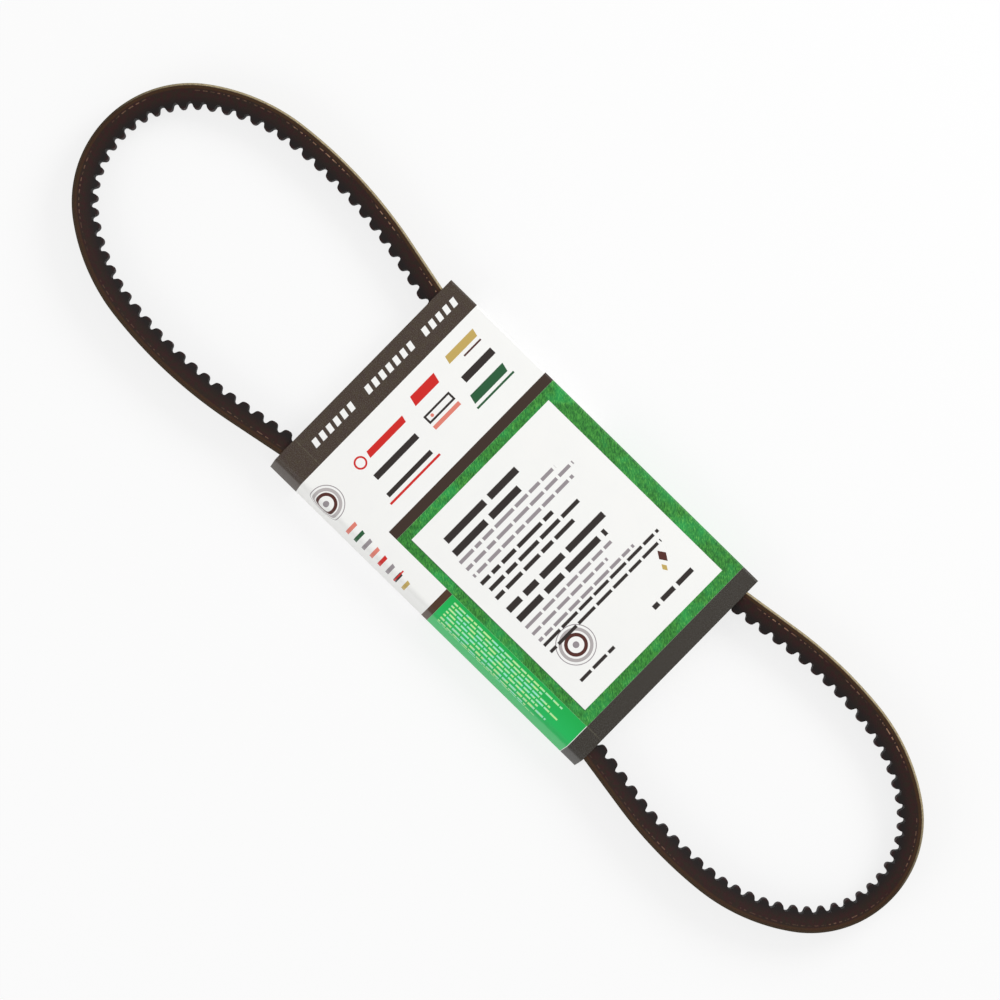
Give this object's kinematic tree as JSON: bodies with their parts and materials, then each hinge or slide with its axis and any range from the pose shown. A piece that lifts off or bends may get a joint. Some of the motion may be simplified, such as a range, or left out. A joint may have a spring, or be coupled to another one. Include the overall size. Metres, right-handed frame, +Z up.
{
  "type": "auger drive belt",
  "caption": "Cogged V-belt loop for a snow thrower's auger drive, pinched in the middle by a folded card sales sleeve.",
  "frame": {"origin": "underside of the sleeve, at the middle of the loop from tip to tip and from side to side", "axes": "+X along the loop, from the large lobe towards the small lobe; +Y across it; +Z up, out of the front panel of the sleeve"},
  "size_m": [0.393, 0.0976, 0.014],
  "materials": {
    "belt_rubber": "raw cut rubber sides with a woven back, dull",
    "printed_card": "white card, printed in fields of green and near-black, satin"
  },
  "bodies": {
    "root": {"belt": "belt_rubber", "sleeve": "printed_card"}
  },
  "joints": []
}
